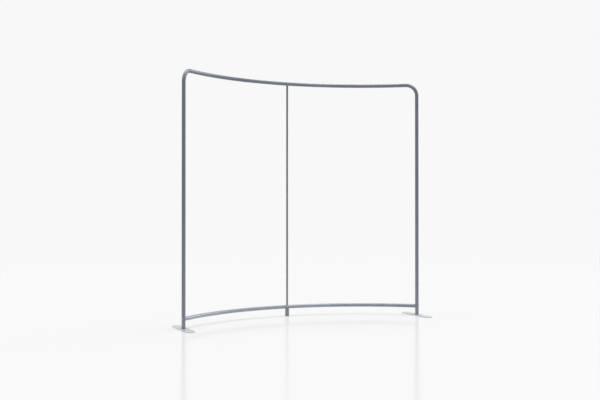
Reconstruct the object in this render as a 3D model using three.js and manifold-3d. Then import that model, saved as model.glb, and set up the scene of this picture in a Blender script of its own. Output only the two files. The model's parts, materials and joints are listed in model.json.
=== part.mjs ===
// A free-standing curved display backwall frame, as it stands without its fabric cover.
//
// Bent aluminium tubes make a tall opening that is curved in plan: two uprights on flat base plates, a top
// rail that turns down into the uprights at rounded corners, a bottom rail between the uprights, a thin pole
// in the middle and a short leg under it. The frame comes apart into lengths that fit a carrying bag. Inner
// sleeves and stubs carry each tube end, and a sprung button locks each joint.
//
// Millimetres, +Z up, +X along the wall. The hollow side of the curve faces -Y.
import * as THREE from "three";
import { mergeVertices } from "three/addons/utils/BufferGeometryUtils.js";
import Module from "manifold-3d";

// ---------------------------------------------------------------- driving dimensions

// The frame as a whole.
const frameWidth = 2400; // upright axis to upright axis, straight across
const frameHeight = 2300; // floor to the top of the top rail
const arcRise = 470; // how far the middle of the wall stands behind its ends
const cornerRadius = 110; // centreline of the bent top corners
const bottomRailHeight = 90; // floor to the axis of the bottom rail

// Where the tubes part for carrying.
const uprightSeamHeight = 1150; // floor to the joint halfway up each upright
const cornerLegLength = 90; // straight end of a corner tube, below its bend
const middleTubeLength = 880; // the middle tubes of both rails, along the curve
const middleStretch = 100; // straight part of the middle tubes, where the pole and the leg meet them
const poleSeamHeight = 1190; // floor to the joint halfway up the pole
const seamGap = 0.3; // between two tube ends that meet

// Frame tubes.
const tubeRadius = 17;
const tubeWall = 1.5;

// Centre pole.
const poleRadius = 9.5;
const poleWall = 1.2;
const poleShoulderLength = 3; // cone between the pole and its reduced end

// Sleeves and stubs that carry the tube ends.
const clearance = 0.3; // all round, wherever two pieces fit together
const sleeveWall = 1.5;
const sleeveTail = 37; // from the middle of a button to the end of its sleeve
const stubTail = 24; // from the middle of a button to the end of its rail stub
const stubWeb = 12; // solid end of a rail stub, which takes its screw
const poleTail = 35; // from the middle of a button to the end of the pole's neck or stub
const poleStubWeb = 8;
const noseRadius = 5; // spigot of a pole stub, through the rail's wall
const noseRimRadius = 7; // flared rim that holds the nose in the wall
const noseRimThickness = 1.2;

// Sprung buttons. Each spring lies in the piece that carries the button, with room past its bend.
const buttonRadius = 4;
const buttonProud = 3; // stands this far out of the tube
const buttonFlange = 1.5; // rim beyond the button, inside the sleeve
const buttonFlangeThickness = 1.2;
const springThickness = 0.8;
const springWidth = 8;
const springBend = 2.5; // outside of the bend between its leaves
const springLength = 30; // button to the middle of the bend
const springRoom = 5;

const poleButtonRadius = 3;
const poleButtonProud = 2.4;
const poleButtonFlange = 1;
const poleButtonFlangeThickness = 0.8;
const poleSpringThickness = 0.6;
const poleSpringWidth = 5;
const poleSpringBend = 1.8;
const poleSpringLength = 24;
const poleSpringRoom = 10;

// Base plates, and what holds them to the uprights.
const plateLength = 480;
const plateWidth = 90;
const plateThickness = 6;
const plateChamfer = 0.8;
const plugFlangeThickness = 2; // rim of the end plug, between tube and plate
const plugLength = 42; // part of the plug inside the tube
const baseScrewRadius = 5;
const baseScrewHeadEdge = 0.6; // straight edge below the cone
const countersinkWeb = 0.9; // metal left between the cone and the top of the plate
const baseScrewLength = 36; // from the underside of its head
const leadChamfer = 1; // at the tips of the base screws and the plugs
const baseScrewSocket = 3; // half the hexagon across its flats
const baseScrewSocketDepth = 3;

// Screws that hold the rail stubs and the centre leg.
const smallScrewRadius = 3;
const smallScrewHeadRadius = 5.25;
const smallScrewHeadThickness = 3.3;
const smallScrewHeadFlat = 2.9; // radius of the flat round its socket
const smallScrewHeadRim = 0.7; // straight edge under the dome
const smallScrewSocket = 2;
const smallScrewSocketDepth = 1.8;
const smallScrewBite = 9; // how far a rail screw runs into its stub

// Centre leg.
const legRadius = 19;
const legWall = 2;
const legLip = 9; // the leg's rim stands this far above the rail's lowest line
const legPlugLip = 4; // and so does the plug inside it
const legCapThickness = 3;
const legCapDepth = 15; // part of the foot cap inside the leg
const legCapWall = 2.5;
const legCapChamfer = 0.8;
const legPlugDepth = 26; // below the rail's lowest line
const legBoltSeat = 16; // rail's lowest line down to the face that the bolt head bears on
const legBoltBite = 7; // how far the bolt runs into the pole stub above the rail

// How finely round and curved forms are cut.
const tubeSides = 16;
const poleSides = 12;
const legSides = 20;
const smallSides = 10;
const railStep = 110; // longest straight stretch along a curved tube
const bendSteps = 6;
const springBendSteps = 2;
const plateEndSteps = 8;
const overrun = 1; // how far a cutter goes past what it cuts

// ---------------------------------------------------------------- derived sizes

const arcRadius = ((frameWidth / 2) ** 2 + arcRise ** 2) / (2 * arcRise);
const arcHalf = arcRadius * Math.asin(frameWidth / 2 / arcRadius);
const topRailHeight = frameHeight - tubeRadius;
const bendBottom = topRailHeight - cornerRadius;
const cornerSeamHeight = bendBottom - cornerLegLength;
const railSeam = middleTubeLength / 2;
const boreRadius = tubeRadius - tubeWall;
const sleeveRadius = boreRadius - clearance;
const sleeveBore = sleeveRadius - sleeveWall;
const buttonOffset = springLength + springBend + springRoom; // joint to button, along a main tube
const sleeveHalf = buttonOffset + sleeveTail; // reach of a sleeve on each side of its joint
const seatRadius = tubeRadius + clearance; // of whatever is cut to sit on a main tube
const stubButtonAt = seatRadius + stubWeb + clearance + springBend + springLength; // from the upright's axis
const stubReach = stubButtonAt + stubTail;
const poleBore = poleRadius - poleWall;
const neckRadius = poleBore - clearance;
const neckBore = neckRadius - poleWall;
const poleButtonOffset = poleSpringLength + poleSpringBend + poleSpringRoom; // joint to button
const poleNeckLength = poleButtonOffset + poleTail; // reduced end that slides into the next tube
const stubHollow = seatRadius + poleStubWeb; // from the rail's axis, in a pole stub
const poleStubButtonAt = stubHollow + clearance + poleSpringBend + poleSpringLength;
const poleStubReach = poleStubButtonAt + poleTail;
const screwCone = plateThickness - clearance - baseScrewHeadEdge - countersinkWeb;
const screwHeadDepth = baseScrewHeadEdge + screwCone;
const baseScrewHeadRadius = baseScrewRadius + screwCone; // the cone's sides slope at 45 degrees
const plugBottom = plateThickness + clearance;
const uprightBottom = plugBottom + plugFlangeThickness + clearance;
const railUnderside = bottomRailHeight - tubeRadius;
const legBore = legRadius - legWall;
const legTop = railUnderside + legLip;
const poleLine = arcRise - arcRadius * (1 - Math.cos(middleStretch / 2 / arcRadius));

// ---------------------------------------------------------------- solids

const wasm = await Module();
wasm.setup();

// A closed geometry as a solid, moved by a matrix where one is given.
function solidOf(geometry, place) {
  const bare = new THREE.BufferGeometry();
  bare.setAttribute("position", geometry.getAttribute("position").clone());
  bare.setIndex(geometry.index);
  if (place) bare.applyMatrix4(place);
  const merged = mergeVertices(bare, 1e-4);
  const vertProperties = merged.getAttribute("position").array;
  const triVerts = new Uint32Array(merged.index.array);
  return new wasm.Manifold(new wasm.Mesh({ numProp: 3, vertProperties, triVerts }));
}

function geometryOf(solid) {
  const { numVert, numProp, vertProperties, triVerts } = solid.getMesh();
  const points = new Float32Array(numVert * 3);
  for (let i = 0; i < numVert; i++) {
    points.set(vertProperties.subarray(i * numProp, i * numProp + 3), i * 3);
  }
  const shared = new THREE.BufferGeometry();
  shared.setAttribute("position", new THREE.BufferAttribute(points, 3));
  shared.setIndex(new THREE.BufferAttribute(triVerts, 1));
  const made = shared.toNonIndexed();
  made.computeVertexNormals();
  return made;
}

// The corner radius of a polygon whose flats touch a circle. Bores and cutters use it, and solid rounds keep
// their corners on the circle, so a polygon in a polygon never closes the clearance between them.
const around = (radius, sides) => radius / Math.cos(Math.PI / sides);

function roundOutline(radius, sides) {
  const corner = (_, i) => {
    const angle = (2 * Math.PI * i) / sides;
    return new THREE.Vector2(radius * Math.cos(angle), radius * Math.sin(angle));
  };
  return Array.from({ length: sides }, corner);
}

// A round bar along +Z.
function bar(radius, from, to, sides, place) {
  const geometry = new THREE.CylinderGeometry(radius, radius, to - from, sides);
  geometry.rotateX(Math.PI / 2).translate(0, 0, (from + to) / 2);
  return solidOf(geometry, place);
}

// A bar that clears a round of the given radius, for holes and seats.
const cutter = (radius, from, to, sides, place) => bar(around(radius, sides), from, to, sides, place);

// A turned piece about +Z. Its profile lists radius and height from the bottom up.
function turned(profile, sides, place) {
  const points = profile.map(([radius, height]) => new THREE.Vector2(radius, height));
  return solidOf(new THREE.LatheGeometry(points, sides).rotateX(Math.PI / 2), place);
}

// The middle ring of a quarter round, from one radius and height to another.
function roundedRing(fromRadius, fromHeight, toRadius, toHeight) {
  const radius = toRadius + (fromRadius - toRadius) * Math.SQRT1_2;
  return [radius, fromHeight + (toHeight - fromHeight) * Math.SQRT1_2];
}

// A hexagonal socket, as a cutter along +Z.
const hexagon = (halfFlats, from, to) => bar(around(halfFlats, 6), from, to, 6);

// A curve through set stations, so that a tube and the sleeve inside it turn at the same places.
class Route extends THREE.Curve {
  constructor(pointAt, stations) {
    super();
    this.pointAt = pointAt;
    this.stations = stations;
  }
  getUtoTmapping(u) {
    return u;
  }
  getPoint(t, target = new THREE.Vector3()) {
    const place = t * (this.stations.length - 1);
    const i = Math.min(Math.max(Math.floor(place), 0), this.stations.length - 2);
    const along = THREE.MathUtils.lerp(this.stations[i], this.stations[i + 1], place - i);
    return target.copy(this.pointAt(along));
  }
}

// A tube, or a bar where no bore is given, along a route.
function tubeAlong(pointAt, stations, outer, bore, sides) {
  const section = new THREE.Shape(roundOutline(outer, sides));
  if (bore) section.holes.push(new THREE.Path(roundOutline(around(bore, sides), sides)));
  const extrudePath = new Route(pointAt, stations);
  return solidOf(new THREE.ExtrudeGeometry(section, { steps: stations.length - 1, extrudePath }));
}

// Even stations between two places, no further apart than a step.
function spaced(from, to, step) {
  const count = Math.max(1, Math.ceil(Math.abs(to - from) / step));
  return Array.from({ length: count + 1 }, (_, i) => from + ((to - from) * i) / count);
}

// A frame for what sits on a tube: +Z points out of the tube and +X runs along it.
function seat(point, along, outward) {
  const x = along.clone().normalize();
  const z = outward.clone().addScaledVector(x, -outward.dot(x)).normalize();
  const y = new THREE.Vector3().crossVectors(z, x);
  return new THREE.Matrix4().makeBasis(x, y, z).setPosition(point);
}

// ---------------------------------------------------------------- the curve of the wall

const up = new THREE.Vector3(0, 0, 1);
const back = new THREE.Vector3(0, 1, 0);

// A point on the wall, at a distance along the curve from its middle and at a height.
function wallPoint(along, height) {
  const angle = along / arcRadius;
  const y = arcRadius * (Math.cos(angle) - 1) + arcRise;
  return new THREE.Vector3(arcRadius * Math.sin(angle), y, height);
}

// Straight out of the back of the curve.
function wallNormal(along) {
  const angle = along / arcRadius;
  return new THREE.Vector3(Math.sin(angle), Math.cos(angle), 0);
}

const uprightPoint = (side, height) => new THREE.Vector3((side * frameWidth) / 2, 0, height);
const polePoint = (height) => new THREE.Vector3(0, poleLine, height);

// One straight stretch of a rail: its start, the way it runs, and the way out of the wall's back.
function stretch(side, first, last, height) {
  const start = wallPoint(side * first, height);
  const along = wallPoint(side * last, height).sub(start).normalize();
  return { start, along, outward: wallNormal((side * (first + last)) / 2) };
}

const sleeveStretch = (side, height) => stretch(side, railSeam, railSeam + sleeveHalf, height);
const stubStretch = (side) => stretch(side, arcHalf, arcHalf - stubReach, bottomRailHeight);

// ---------------------------------------------------------------- materials

function metal(color, roughness, metalness = 1) {
  return new THREE.MeshStandardMaterial({ color, roughness, metalness });
}

const aluminium = metal(0x8b9097, 0.42);
const sleeveAluminium = metal(0xb4b8bc, 0.35);
const plateSteel = metal(0xb9bcc0, 0.45);
const screwSteel = metal(0x9a9da1, 0.3);
const springSteel = metal(0x7d8084, 0.35);
const buttonSteel = metal(0xc6c8ca, 0.22);
const blackPlastic = metal(0x26272a, 0.6, 0);

// ---------------------------------------------------------------- sprung buttons

// The sizes of a button and its spring, measured out from the axis of the tube that they sit in.
function buttonSizes(radius, flange, flangeThickness, proud, tube, bore) {
  const rimRadius = radius + flange;
  const rimTop = Math.sqrt(bore ** 2 - rimRadius ** 2) - clearance;
  return {
    radius,
    rimRadius,
    rimTop,
    rimBottom: rimTop - flangeThickness,
    top: tube + proud,
    tube,
  };
}

const mainButton = buttonSizes(
  buttonRadius, buttonFlange, buttonFlangeThickness, buttonProud, tubeRadius, sleeveBore,
);
const poleButton = buttonSizes(
  poleButtonRadius, poleButtonFlange, poleButtonFlangeThickness, poleButtonProud, poleRadius, neckBore,
);

// A domed button with a rim that stops against the inside of its sleeve.
function buttonSolid(size) {
  const domeBottom = size.tube + clearance;
  const domeRing = roundedRing(size.radius, domeBottom, 0, size.top);
  const profile = [
    [0, size.rimBottom],
    [size.rimRadius, size.rimBottom],
    [size.rimRadius, size.rimTop],
    [size.radius, size.rimTop],
    [size.radius, domeBottom],
    domeRing,
    [0, size.top],
  ];
  return turned(profile, smallSides);
}

// A leaf spring bent to a V on its side. One leaf lies under the button, and the other on the far wall.
function springSolid(size, bore, thickness, width, bend, length) {
  const end = size.rimRadius;
  const near = size.rimBottom - clearance;
  const far = clearance - Math.sqrt(bore ** 2 - (width / 2) ** 2);
  const middle = (near + far) / 2;
  const turn = Math.PI / 2 - Math.atan2((near - far) / 2 - bend, length - end);
  const outline = new THREE.Shape()
    .moveTo(-end, near)
    .lineTo(end, near)
    .absarc(length, middle, bend, turn, -turn, true)
    .lineTo(end, far)
    .lineTo(-end, far)
    .lineTo(-end, far + thickness)
    .lineTo(end, far + thickness)
    .absarc(length, middle, bend - thickness, -turn, turn, false)
    .lineTo(end, near - thickness)
    .lineTo(-end, near - thickness);
  const strip = new THREE.ExtrudeGeometry(outline, {
    depth: width,
    curveSegments: springBendSteps,
    bevelEnabled: false,
  });
  return solidOf(strip.translate(0, 0, -width / 2).rotateX(Math.PI / 2));
}

const mainButtonGeometry = geometryOf(buttonSolid(mainButton));
const mainSpringGeometry = geometryOf(
  springSolid(mainButton, sleeveBore, springThickness, springWidth, springBend, springLength),
);
const poleButtonGeometry = geometryOf(buttonSolid(poleButton));
const poleSpringGeometry = geometryOf(
  springSolid(poleButton, neckBore, poleSpringThickness, poleSpringWidth, poleSpringBend, poleSpringLength),
);

// The hole that a button works in, through the tube and its sleeve on that side.
function buttonHole(size, place) {
  return cutter(size.radius + clearance, size.rimTop - clearance, size.top, smallSides, place);
}

// ---------------------------------------------------------------- main tubes

const acrossTube = tubeRadius + overrun; // from a tube's axis to clear of its wall
const mainTube = (pointAt, stations) => tubeAlong(pointAt, stations, tubeRadius, boreRadius, tubeSides);

// Where each button sits. It faces the back of the wall, and its spring points back into its carrier.
const down = new THREE.Vector3(0, 0, -1);
const onUpright = (side, seam) => seat(uprightPoint(side, seam + buttonOffset), down, back);
const onPole = (height, inward) => seat(polePoint(height), inward, back);

function onStretch({ start, along, outward }, distance) {
  return seat(start.clone().addScaledVector(along, distance), along.clone().negate(), outward);
}

const onRail = (side, height) => onStretch(sleeveStretch(side, height), buttonOffset);
const onStub = (side) => onStretch(stubStretch(side), stubButtonAt);
const onPoleNeck = () => onPole(poleSeamHeight + poleButtonOffset, down);
const onPoleTop = () => onPole(topRailHeight - poleStubButtonAt, up);

// Lower half of an upright, drilled across for the screw of the rail stub.
function uprightLowerTube(side) {
  const tube = mainTube((z) => uprightPoint(side, z), [uprightBottom, uprightSeamHeight - seamGap / 2]);
  return tube.subtract(railScrewHole(side, -acrossTube, acrossTube));
}

function uprightUpperTube(side) {
  const stations = [uprightSeamHeight + seamGap / 2, cornerSeamHeight - seamGap / 2];
  const tube = mainTube((z) => uprightPoint(side, z), stations);
  return tube.subtract(buttonHole(mainButton, onUpright(side, uprightSeamHeight)));
}

// A corner tube: a straight leg, the bend, and its share of the curved top rail.
function cornerTube(side) {
  const bendEnd = bendBottom + (cornerRadius * Math.PI) / 2;
  const railEnd = bendEnd + arcHalf - cornerRadius - railSeam;
  const pointAt = (q) => {
    if (q < bendBottom) return uprightPoint(side, q);
    if (q > bendEnd) return wallPoint(side * (arcHalf - cornerRadius - (q - bendEnd)), topRailHeight);
    const angle = (q - bendBottom) / cornerRadius;
    const inward = cornerRadius * (1 - Math.cos(angle));
    return wallPoint(side * (arcHalf - inward), bendBottom + cornerRadius * Math.sin(angle));
  };
  const stations = [
    cornerSeamHeight + seamGap / 2,
    cornerSeamHeight + sleeveHalf,
    ...spaced(bendBottom, bendEnd, (bendEnd - bendBottom) / bendSteps),
    ...spaced(bendEnd, railEnd - sleeveHalf, railStep).slice(1),
    railEnd - seamGap / 2,
  ];
  return mainTube(pointAt, stations)
    .subtract(buttonHole(mainButton, onUpright(side, cornerSeamHeight)))
    .subtract(buttonHole(mainButton, onRail(side, topRailHeight)));
}

function middleTube(height) {
  const end = railSeam - seamGap / 2;
  const sleeved = railSeam - sleeveHalf;
  const left = spaced(-sleeved, -middleStretch / 2, railStep);
  const right = spaced(middleStretch / 2, sleeved, railStep);
  const stations = [-end, ...left, ...right, end];
  return mainTube((s) => wallPoint(s, height), stations);
}

// The top middle tube, with a hole below for the nose of the pole's stub.
function topMiddleTube() {
  const hole = new THREE.Matrix4().makeTranslation(polePoint(topRailHeight));
  return middleTube(topRailHeight).subtract(
    cutter(noseRadius + clearance, -acrossTube, 0, smallSides, hole),
  );
}

// The bottom middle tube, with the stub's hole above and the leg bolt's hole below.
function bottomMiddleTube() {
  const hole = new THREE.Matrix4().makeTranslation(polePoint(bottomRailHeight));
  return middleTube(bottomRailHeight)
    .subtract(cutter(noseRadius + clearance, 0, acrossTube, smallSides, hole))
    .subtract(cutter(smallScrewRadius + clearance, -acrossTube, 0, smallSides, hole));
}

// What the bottom rail's ends leave free round an upright.
function uprightSeat(side) {
  const upright = new THREE.Matrix4().makeTranslation(uprightPoint(side, bottomRailHeight));
  return cutter(seatRadius, -acrossTube, acrossTube, tubeSides, upright);
}

// A bottom end tube, its outer end cut to sit against the upright.
function bottomEndTube(side) {
  const stations = [
    arcHalf,
    ...spaced(arcHalf - stubReach, railSeam + sleeveHalf, railStep),
    railSeam + seamGap / 2,
  ];
  return mainTube((s) => wallPoint(side * s, bottomRailHeight), stations)
    .subtract(uprightSeat(side))
    .subtract(buttonHole(mainButton, onStub(side)))
    .subtract(buttonHole(mainButton, onRail(side, bottomRailHeight)));
}

// ---------------------------------------------------------------- sleeves and rail stubs

const sleeve = (pointAt, stations) => tubeAlong(pointAt, stations, sleeveRadius, sleeveBore, tubeSides);

function uprightSleeve(side, seam) {
  return sleeve((z) => uprightPoint(side, z), [seam - sleeveHalf, seam + sleeveHalf]).subtract(
    buttonHole(mainButton, onUpright(side, seam)),
  );
}

function railSleeve(side, height) {
  const stations = [railSeam - sleeveHalf, railSeam, railSeam + sleeveHalf];
  return sleeve((s) => wallPoint(side * s, height), stations).subtract(
    buttonHole(mainButton, onRail(side, height)),
  );
}

// A frame on an upright's axis whose +Z runs into the rail's end.
function inwardFrame(side) {
  const { start, along, outward } = stubStretch(side);
  const across = new THREE.Vector3().crossVectors(along, outward);
  return new THREE.Matrix4().makeBasis(outward, across, along).setPosition(start);
}

function railScrewHole(side, from, to) {
  return cutter(smallScrewRadius + clearance, from, to, smallSides, inwardFrame(side));
}

// A stub on the upright that carries the bottom rail's end. Its web takes the screw, and the rest is hollow
// for the button's spring.
function railStub(side) {
  const place = inwardFrame(side);
  const hollow = seatRadius + stubWeb;
  return bar(sleeveRadius, 0, stubReach, tubeSides, place)
    .subtract(cutter(sleeveBore, hollow, stubReach + overrun, tubeSides, place))
    .subtract(uprightSeat(side))
    .subtract(railScrewHole(side, 0, hollow + overrun))
    .subtract(buttonHole(mainButton, onStub(side)));
}

// A small screw along +Z with a domed head below, which bears on a face at zero.
function smallScrew(length) {
  const head = smallScrewHeadThickness;
  const profile = [
    [0, -head],
    [smallScrewHeadFlat, -head],
    roundedRing(smallScrewHeadRadius, -smallScrewHeadRim, smallScrewHeadFlat, -head),
    [smallScrewHeadRadius, -smallScrewHeadRim],
    [smallScrewHeadRadius, 0],
    [smallScrewRadius, 0],
    [smallScrewRadius, length],
    [0, length],
  ];
  return turned(profile, smallSides).subtract(
    hexagon(smallScrewSocket, -head - overrun, smallScrewSocketDepth - head),
  );
}

// ---------------------------------------------------------------- centre pole

// The lower half of the pole, with its end drawn down to slide into the upper half.
function poleLowerTube() {
  const bottom = bottomRailHeight + seatRadius;
  const neckBottom = poleSeamHeight;
  const shoulderBottom = neckBottom - poleShoulderLength;
  const neckTop = neckBottom + poleNeckLength;
  const wide = around(poleBore, poleSides);
  const narrow = around(neckBore, poleSides);
  const profile = [
    [poleRadius, bottom],
    [poleRadius, shoulderBottom],
    [neckRadius, neckBottom],
    [neckRadius, neckTop],
    [narrow, neckTop],
    [narrow, neckBottom],
    [wide, shoulderBottom],
    [wide, bottom],
    [poleRadius, bottom],
  ];
  const place = new THREE.Matrix4().makeTranslation(polePoint(0));
  return turned(profile, poleSides, place).subtract(
    buttonHole(poleButton, onPoleNeck()),
  );
}

function poleUpperTube() {
  const top = topRailHeight - seatRadius;
  const stations = [poleSeamHeight + seamGap, top];
  return tubeAlong(polePoint, stations, poleRadius, poleBore, poleSides)
    .subtract(buttonHole(poleButton, onPoleNeck()))
    .subtract(buttonHole(poleButton, onPoleTop()));
}

// A stub for one end of the pole, along +Z from the rail's axis. Its nose passes through the rail's wall and
// is flared inside, a web closes it next to the rail, and the rest is hollow.
function poleStub() {
  const rimTop = Math.sqrt(boreRadius ** 2 - noseRimRadius ** 2) - clearance;
  const acrossRail = new THREE.Matrix4().makeRotationY(Math.PI / 2);
  return bar(neckRadius, 0, poleStubReach, poleSides)
    .subtract(cutter(seatRadius, -poleRadius, poleRadius, tubeSides, acrossRail))
    .subtract(cutter(neckBore, stubHollow, poleStubReach + overrun, poleSides))
    .add(bar(noseRadius, rimTop, seatRadius + poleStubWeb / 2, smallSides))
    .add(bar(noseRimRadius, rimTop - noseRimThickness, rimTop, smallSides));
}

// The top stub hangs from the rail and holds a button.
function poleTopStub() {
  const button = seat(new THREE.Vector3(0, 0, poleStubButtonAt), down, back.clone().negate());
  return poleStub().subtract(buttonHole(poleButton, button));
}

// The bottom stub is plain, and is tapped from below for the leg's bolt.
function poleBottomStub() {
  const top = tubeRadius + legBoltBite + clearance;
  return poleStub().subtract(cutter(smallScrewRadius + clearance, 0, top, smallSides));
}

// ---------------------------------------------------------------- centre leg

const railCradle = () => {
  const along = new THREE.Matrix4().makeRotationY(Math.PI / 2).setPosition(0, 0, bottomRailHeight);
  const reach = legRadius + overrun;
  return cutter(seatRadius, -reach, reach, tubeSides, along);
};

function legTube() {
  const bottom = legCapThickness + clearance;
  return bar(legRadius, bottom, legTop, legSides)
    .subtract(cutter(legBore, bottom - overrun, legTop + overrun, legSides))
    .subtract(railCradle());
}

// The plug in the leg's top, cut to the rail, with a seat for the bolt's head.
function legPlug() {
  return bar(legBore - clearance, railUnderside - legPlugDepth, railUnderside + legPlugLip, legSides)
    .subtract(railCradle())
    .subtract(cutter(smallScrewRadius + clearance, 0, legTop, smallSides))
    .subtract(cutter(smallScrewHeadRadius + clearance, 0, railUnderside - legBoltSeat, smallSides));
}

function legFootCap() {
  const insert = legBore - clearance;
  const top = legCapThickness + legCapDepth;
  const profile = [
    [0, 0],
    [legRadius - legCapChamfer, 0],
    [legRadius, legCapChamfer],
    [legRadius, legCapThickness],
    [insert, legCapThickness],
    [insert - legCapChamfer, top],
    [insert - legCapWall, top],
    [insert - legCapWall, legCapThickness],
    [0, legCapThickness],
  ];
  return turned(profile, legSides);
}

// ---------------------------------------------------------------- base plates

// A long plate with round ends, countersunk below for its screw.
function basePlate() {
  const half = plateLength / 2 - plateWidth / 2;
  const radius = plateWidth / 2 - plateChamfer;
  const outline = new THREE.Shape()
    .absarc(0, half, radius, 0, Math.PI, false)
    .absarc(0, -half, radius, Math.PI, 2 * Math.PI, false);
  const plate = new THREE.ExtrudeGeometry(outline, {
    depth: plateThickness - 2 * plateChamfer,
    curveSegments: plateEndSteps,
    bevelSize: plateChamfer,
    bevelThickness: plateChamfer,
    bevelSegments: 1,
  }).translate(0, 0, plateChamfer);
  const hole = baseScrewRadius + clearance;
  const head = baseScrewHeadRadius + clearance;
  const countersink = [
    [0, -overrun],
    [head, -overrun],
    [head, clearance + baseScrewHeadEdge],
    [hole, clearance + screwHeadDepth],
    [hole, plateThickness + overrun],
    [0, plateThickness + overrun],
  ];
  const wide = countersink.map(([r, z]) => [around(r, poleSides), z]);
  return solidOf(plate).subtract(turned(wide, poleSides));
}

// The countersunk screw that clamps the plate to the upright's plug, its head just inside the plate.
function baseScrew() {
  const bottom = clearance;
  const top = bottom + screwHeadDepth + baseScrewLength - clearance;
  const profile = [
    [0, bottom],
    [baseScrewHeadRadius, bottom],
    [baseScrewHeadRadius, bottom + baseScrewHeadEdge],
    [baseScrewRadius, bottom + screwHeadDepth],
    [baseScrewRadius, top - leadChamfer],
    [baseScrewRadius - leadChamfer, top],
    [0, top],
  ];
  return turned(profile, poleSides).subtract(
    hexagon(baseScrewSocket, 0, bottom + baseScrewSocketDepth),
  );
}

// The tapped plug in the foot of an upright.
function uprightPlug() {
  const top = uprightBottom + plugLength;
  const rim = plugBottom + plugFlangeThickness;
  const bore = around(baseScrewRadius + clearance, tubeSides);
  const profile = [
    [bore, plugBottom],
    [tubeRadius, plugBottom],
    [tubeRadius, rim],
    [sleeveRadius, rim],
    [sleeveRadius, top - leadChamfer],
    [sleeveRadius - leadChamfer, top],
    [bore, top],
    [bore, plugBottom],
  ];
  return turned(profile, tubeSides);
}

// ---------------------------------------------------------------- the assembly

const backwall = new THREE.Group();

function piece(name, solid, material, parent = backwall) {
  const mesh = new THREE.Mesh(geometryOf(solid), material);
  mesh.name = name;
  parent.add(mesh);
}

function groupAt(place) {
  const group = new THREE.Group();
  group.applyMatrix4(place);
  backwall.add(group);
  return group;
}

// A button and its spring, in the seat's own frame.
function snapButton(name, place, buttonGeometry, springGeometry) {
  const group = groupAt(place);
  const parts = [
    [`${name}_button`, buttonGeometry, buttonSteel],
    [`${name}_spring`, springGeometry, springSteel],
  ];
  for (const [partName, geometry, material] of parts) {
    const mesh = new THREE.Mesh(geometry, material);
    mesh.name = partName;
    group.add(mesh);
  }
}

const mainSnap = (name, place) => snapButton(name, place, mainButtonGeometry, mainSpringGeometry);
const poleSnap = (name, place) => snapButton(name, place, poleButtonGeometry, poleSpringGeometry);

function sideOfFrame(name, side) {
  piece(`${name}_upright_lower_tube`, uprightLowerTube(side), aluminium);
  piece(`${name}_upright_upper_tube`, uprightUpperTube(side), aluminium);
  piece(`${name}_corner_tube`, cornerTube(side), aluminium);
  piece(`bottom_${name}_tube`, bottomEndTube(side), aluminium);

  piece(`${name}_upright_sleeve`, uprightSleeve(side, uprightSeamHeight), sleeveAluminium);
  piece(`${name}_corner_sleeve`, uprightSleeve(side, cornerSeamHeight), sleeveAluminium);
  piece(`top_${name}_sleeve`, railSleeve(side, topRailHeight), sleeveAluminium);
  piece(`bottom_${name}_sleeve`, railSleeve(side, bottomRailHeight), sleeveAluminium);

  piece(`${name}_rail_stub`, railStub(side), sleeveAluminium);
  const screwFrame = groupAt(inwardFrame(side));
  const screw = new THREE.Group();
  screw.position.z = -seatRadius;
  screwFrame.add(screw);
  piece(`${name}_rail_screw`, smallScrew(2 * seatRadius + smallScrewBite), screwSteel, screw);

  mainSnap(`${name}_upright`, onUpright(side, uprightSeamHeight));
  mainSnap(`${name}_corner`, onUpright(side, cornerSeamHeight));
  mainSnap(`top_${name}`, onRail(side, topRailHeight));
  mainSnap(`bottom_${name}`, onRail(side, bottomRailHeight));
  mainSnap(`${name}_rail_end`, onStub(side));

  const foot = groupAt(new THREE.Matrix4().makeTranslation(uprightPoint(side, 0)));
  piece(`${name}_base_plate`, basePlate(), plateSteel, foot);
  piece(`${name}_base_screw`, baseScrew(), screwSteel, foot);
  piece(`${name}_upright_plug`, uprightPlug(), blackPlastic, foot);
}

function middleOfFrame() {
  piece("top_middle_tube", topMiddleTube(), aluminium);
  piece("bottom_middle_tube", bottomMiddleTube(), aluminium);

  piece("pole_lower_tube", poleLowerTube(), aluminium);
  piece("pole_upper_tube", poleUpperTube(), aluminium);
  const hanging = new THREE.Matrix4().makeRotationX(Math.PI).setPosition(polePoint(topRailHeight));
  const standing = new THREE.Matrix4().makeTranslation(polePoint(bottomRailHeight));
  piece("pole_top_stub", poleTopStub(), sleeveAluminium, groupAt(hanging));
  piece("pole_bottom_stub", poleBottomStub(), sleeveAluminium, groupAt(standing));
  poleSnap("pole_middle", onPoleNeck());
  poleSnap("pole_top", onPoleTop());

  const leg = groupAt(new THREE.Matrix4().makeTranslation(polePoint(0)));
  piece("centre_leg_tube", legTube(), aluminium, leg);
  piece("leg_plug", legPlug(), blackPlastic, leg);
  piece("leg_foot_cap", legFootCap(), blackPlastic, leg);
  const bolt = new THREE.Group();
  bolt.position.z = railUnderside - legBoltSeat - clearance;
  leg.add(bolt);
  const boltTop = bottomRailHeight + tubeRadius + legBoltBite - clearance;
  piece("leg_bolt", smallScrew(boltTop - bolt.position.z), screwSteel, bolt);
}

sideOfFrame("left", -1);
sideOfFrame("right", 1);
middleOfFrame();

// The origin is on the floor, in the middle of the frame's footprint.
backwall.position.y = (plateLength / 2 - poleLine - legRadius) / 2;

export default backwall;
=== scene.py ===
"""A free-standing curved display frame of satin aluminium tube, on a pale studio floor.

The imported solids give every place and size. Round solids are cut in flats there, so each piece that shows is
made again here as a smooth one with finished edges, on the same axes. Metres throughout.
"""

import json
import math

import bmesh
import bpy
from mathutils import Matrix, Vector


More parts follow.
